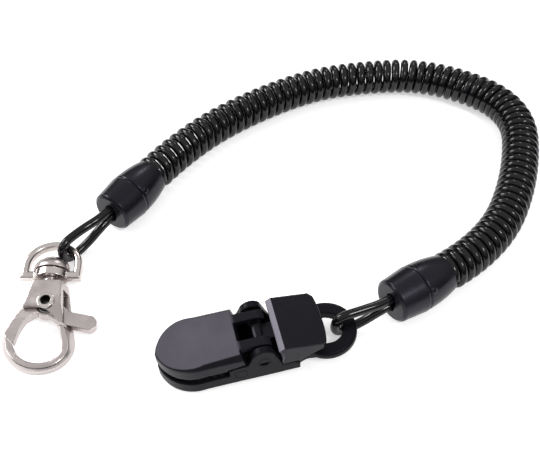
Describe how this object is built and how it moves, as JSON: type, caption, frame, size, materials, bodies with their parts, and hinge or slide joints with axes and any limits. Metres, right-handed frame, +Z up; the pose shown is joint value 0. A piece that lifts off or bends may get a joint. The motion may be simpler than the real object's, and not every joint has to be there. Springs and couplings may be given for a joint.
{
  "type": "coiled tether lanyard",
  "caption": "Curly cord tether with moulded end caps, a swivel trigger hook on one end and a cam-locking jaw clip on the other.",
  "frame": {"origin": "on the surface it lies on, under the middle of the hook and the clip taken together", "axes": "+Z up from the surface; +X from the hook towards the clip; +Y towards the coil's bow"},
  "size_m": [0.1379, 0.1089, 0.0121],
  "materials": {
    "nickel": "satin nickel plate over die-cast zinc, polished along the edges",
    "spring_steel": "plain spring wire",
    "cord": "smooth glossy black plastic",
    "cap": "semi-gloss black moulding",
    "clip": "satin black moulding",
    "crimp": "plain crimped sleeve"
  },
  "bodies": {
    "cord": {"coil_cord": "cord", "hook_loop_cord": "cord", "clip_loop_cord": "cord", "hook_cap_barrel": "cap", "hook_cap_collar": "cap", "hook_crimp_ferrule": "crimp", "clip_cap_barrel": "cap", "clip_cap_collar": "cap", "clip_crimp_ferrule": "crimp"},
    "ring": {"swivel_ring": "nickel"},
    "hook": {"hook_body": "nickel", "swivel_stud": "nickel", "gate_rivet": "nickel", "gate_spring": "spring_steel"},
    "gate": {"gate_lever": "nickel"},
    "base": {"clip_base": "clip", "jaw_pivot_pin": "clip", "cam_pivot_pin": "clip"},
    "jaw": {"upper_jaw": "clip"},
    "lever": {"cam_lever": "clip"}
  },
  "joints": [
    {"name": "ring_swing", "type": "hinge", "parent": "cord", "child": "ring", "pos_m": [-0.03253, 0.01272, 0.00402], "axis": [0, -0.0349, 0.9994], "range_deg": [-66, 16]},
    {"name": "hook_swivel", "type": "hinge", "parent": "ring", "child": "hook", "pos_m": [-0.03253, 0.01007, 0.00393], "axis": [0, 0.9994, 0.0349], "continuous": true},
    {"name": "gate_turn", "type": "hinge", "parent": "hook", "child": "gate", "pos_m": [-0.03193, 0.00144, 0.00333], "axis": [0, -0.0349, 0.9994], "range_deg": [0, 24], "stiffness_Nm_per_rad": 0.06, "springref_deg": -17.19},
    {"name": "clip_swing", "type": "hinge", "parent": "cord", "child": "base", "pos_m": [0.03398, -0.0055, 0.00402], "axis": [-0.0475, -0.0114, 0.9988], "range_deg": [-35, 35]},
    {"name": "lever_lift", "type": "hinge", "parent": "base", "child": "lever", "pos_m": [0.01814, -0.0093, 0.00743], "axis": [0.2334, -0.9724, 0], "range_deg": [0, 75]},
    {"name": "jaw_open", "type": "hinge", "parent": "base", "child": "jaw", "pos_m": [0.01302, -0.01053, 0.00452], "axis": [-0.2334, 0.9724, 0], "range_deg": [0, 8]}
  ],
  "couplings": [
    {"joint": "jaw_open", "follows": "lever_lift", "ratio": 0.10667}
  ]
}
